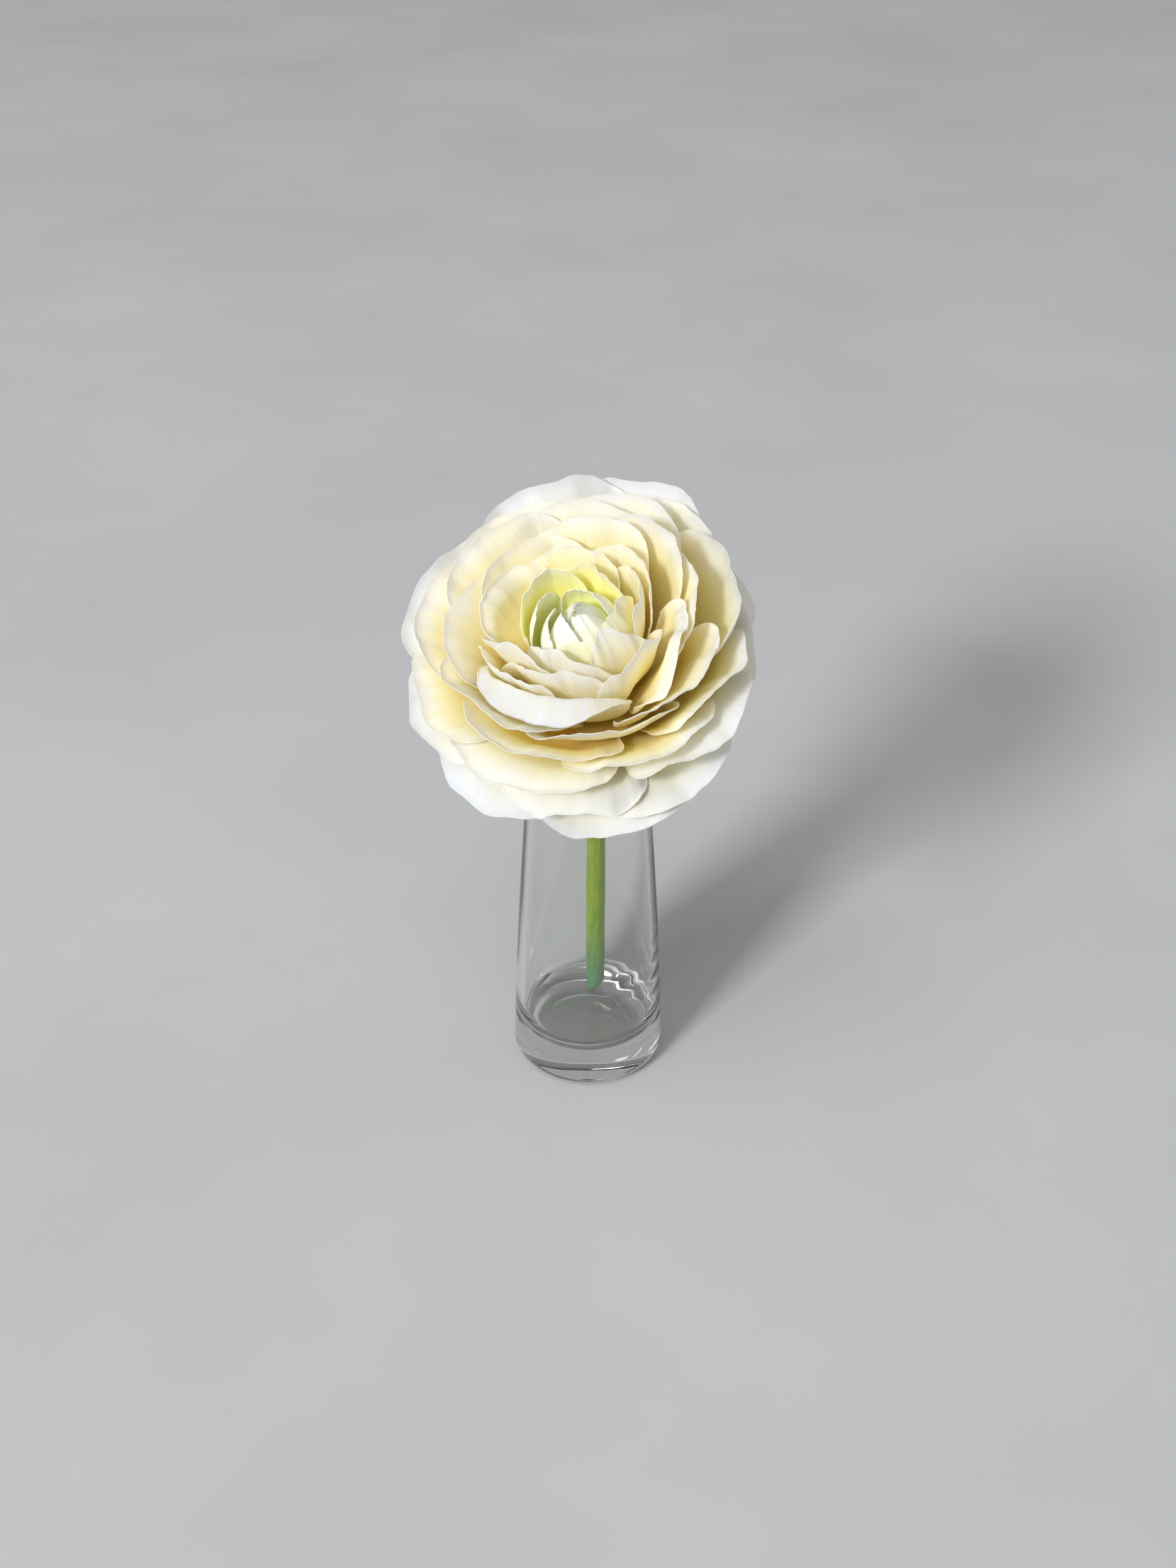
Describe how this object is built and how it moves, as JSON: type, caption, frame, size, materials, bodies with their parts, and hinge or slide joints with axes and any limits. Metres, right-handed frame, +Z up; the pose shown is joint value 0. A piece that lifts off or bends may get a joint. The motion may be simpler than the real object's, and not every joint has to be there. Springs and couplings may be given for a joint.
{
  "type": "ranunculus in a bud vase",
  "caption": "Full-blown cream ranunculus on a green stem, leaning in a clear tapered glass bud vase with a thick base.",
  "frame": {"origin": "centre of the vase's flat underside", "axes": "+Z up along the vase's axis; the flower's head leans and faces towards -Y; +X is to the right as one faces the open flower"},
  "size_m": [0.0793, 0.0748, 0.1589],
  "materials": {
    "glass": "clear, smooth",
    "stem": "fresh green stem, satin",
    "sepal": "matt green leaf",
    "heart_petal": "matt, pale green-white petal",
    "eye_petal": "matt, yellow-green petal",
    "petal": "matt, cream-white petal"
  },
  "bodies": {
    "root": {"cup_petal_01": "petal", "cup_petal_02": "petal", "cup_petal_03": "petal", "cup_petal_04": "petal", "cup_petal_05": "petal", "cup_petal_06": "petal", "cup_petal_07": "petal", "eye_petal_01": "eye_petal", "eye_petal_02": "eye_petal", "eye_petal_03": "eye_petal", "eye_petal_04": "eye_petal", "guard_petal_01": "petal", "guard_petal_02": "petal", "guard_petal_03": "petal", "guard_petal_04": "petal", "guard_petal_05": "petal", "guard_petal_06": "petal", "guard_petal_07": "petal", "guard_petal_08": "petal", "guard_petal_09": "petal", "guard_petal_10": "petal", "guard_petal_11": "petal", "guard_petal_12": "petal", "heart_petal_01": "heart_petal", "heart_petal_02": "heart_petal", "heart_petal_03": "heart_petal", "heart_petal_04": "heart_petal", "heart_petal_05": "heart_petal", "heart_petal_06": "heart_petal", "inner_petal_01": "petal", "inner_petal_02": "petal", "inner_petal_03": "petal", "inner_petal_04": "petal", "inner_petal_05": "petal", "inner_petal_06": "petal", "inner_petal_07": "petal", "inner_petal_08": "petal", "middle_petal_01": "petal", "middle_petal_02": "petal", "middle_petal_03": "petal", "middle_petal_04": "petal", "middle_petal_05": "petal", "middle_petal_06": "petal", "middle_petal_07": "petal", "outer_petal_01": "petal", "outer_petal_02": "petal", "outer_petal_03": "petal", "outer_petal_04": "petal", "outer_petal_05": "petal", "outer_petal_06": "petal", "outer_petal_07": "petal", "outer_petal_08": "petal", "outer_petal_09": "petal", "sepal_1": "sepal", "sepal_2": "sepal", "sepal_3": "sepal", "sepal_4": "sepal", "sepal_5": "sepal", "stem": "stem", "vase": "glass"}
  },
  "joints": []
}
